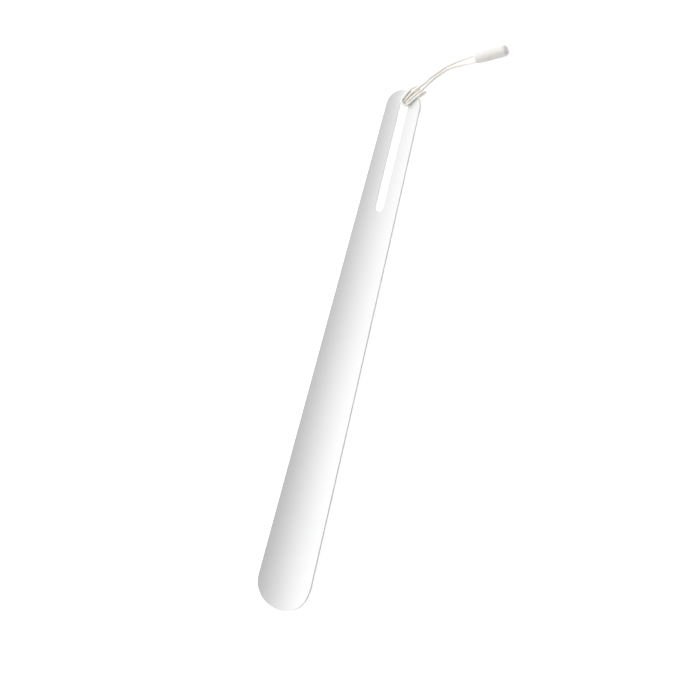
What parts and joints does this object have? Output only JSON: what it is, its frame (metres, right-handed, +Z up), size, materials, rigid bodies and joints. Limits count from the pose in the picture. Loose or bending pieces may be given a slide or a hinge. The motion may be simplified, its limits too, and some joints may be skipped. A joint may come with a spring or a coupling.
{
  "type": "long shoehorn",
  "caption": "Long shoehorn of rolled powder-coated sheet with a hanging slot, and a looped cord with a moulded end cap.",
  "frame": {"origin": "on the surface that the shoehorn lies on, under the middle of the blade", "axes": "+Y along the blade from the wide tip to the narrow top end, +Z up out of the concave face, +X across the blade to the side that the cord lies on"},
  "size_m": [0.1028, 0.5048, 0.0102],
  "materials": {
    "powder_coat": "satin white powder coat",
    "cord": "braided off-white cord",
    "plug_plastic": "moulded, natural",
    "cap_plastic": "moulded, warm translucent off-white"
  },
  "bodies": {
    "shoehorn": {"blade": "powder_coat", "cord_hitch": "cord"},
    "cord_neck": {"cord_neck": "cord"},
    "cord_tail": {"cord_legs": "cord", "end_plug": "plug_plastic", "end_cap": "cap_plastic"}
  },
  "joints": [
    {"name": "cord_turn", "type": "hinge", "parent": "shoehorn", "child": "cord_neck", "pos_m": [0.0151, 0.2343, 0.0044], "axis": [0, 0, 1], "range_deg": [-60, 60]},
    {"name": "cord_fold", "type": "hinge", "parent": "cord_neck", "child": "cord_tail", "pos_m": [0.021, 0.2428, 0.0018], "axis": [0.769, -0.6392, 0], "range_deg": [0, 110]}
  ]
}
